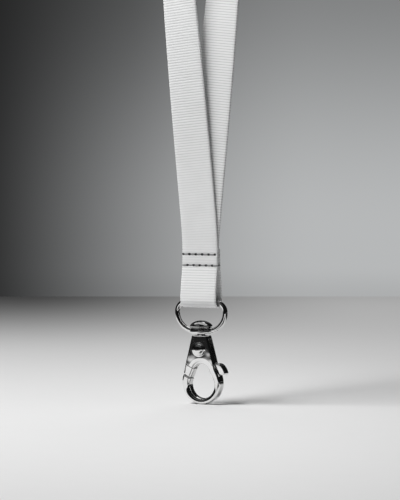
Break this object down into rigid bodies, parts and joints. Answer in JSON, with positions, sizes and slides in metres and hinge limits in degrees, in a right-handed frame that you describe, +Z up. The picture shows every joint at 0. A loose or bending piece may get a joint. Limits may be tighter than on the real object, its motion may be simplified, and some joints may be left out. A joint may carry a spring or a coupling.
{
  "type": "lanyard",
  "caption": "Neck lanyard of ribbed webbing, sewn round the bar of a swivel eye that carries a sprung lobster hook for a badge.",
  "frame": {"origin": "inner face of the strap at the top of the neck bend, where the lanyard hangs", "axes": "+Z up along the hanging lanyard, -Y out of the hook's front face, where the pivot rivet's dome is, +X towards the thumb tab"},
  "size_m": [0.068, 0.0214, 0.4708],
  "materials": {
    "webbing": "ribbed white polyester",
    "thread": "charcoal sewing thread",
    "cast_chrome": "polished",
    "spring_steel": "drawn wire"
  },
  "bodies": {
    "strap": {"neck_strap": "webbing", "upper_needle_thread": "thread", "upper_bobbin_thread": "thread", "lower_needle_thread": "thread", "lower_bobbin_thread": "thread"},
    "eye": {"swivel_eye": "cast_chrome"},
    "hook": {"hook_body": "cast_chrome", "swivel_rivet": "cast_chrome", "pivot_rivet": "cast_chrome", "gate_spring": "spring_steel"},
    "gate": {"gate": "cast_chrome"}
  },
  "joints": [
    {"name": "eye_swing", "type": "hinge", "parent": "strap", "child": "eye", "pos_m": [0, 0, -0.419], "axis": [1, 0, 0], "range_deg": [-90, 90]},
    {"name": "hook_swivel", "type": "hinge", "parent": "eye", "child": "hook", "pos_m": [0, 0, -0.433], "axis": [0, 0, 1], "continuous": true},
    {"name": "gate_open", "type": "hinge", "parent": "hook", "child": "gate", "pos_m": [0, 0, -0.4425], "axis": [0, -1, 0], "range_deg": [0, 25], "stiffness_Nm_per_rad": 0.03, "springref_deg": -28.65, "deforming": ["gate_spring"]}
  ]
}
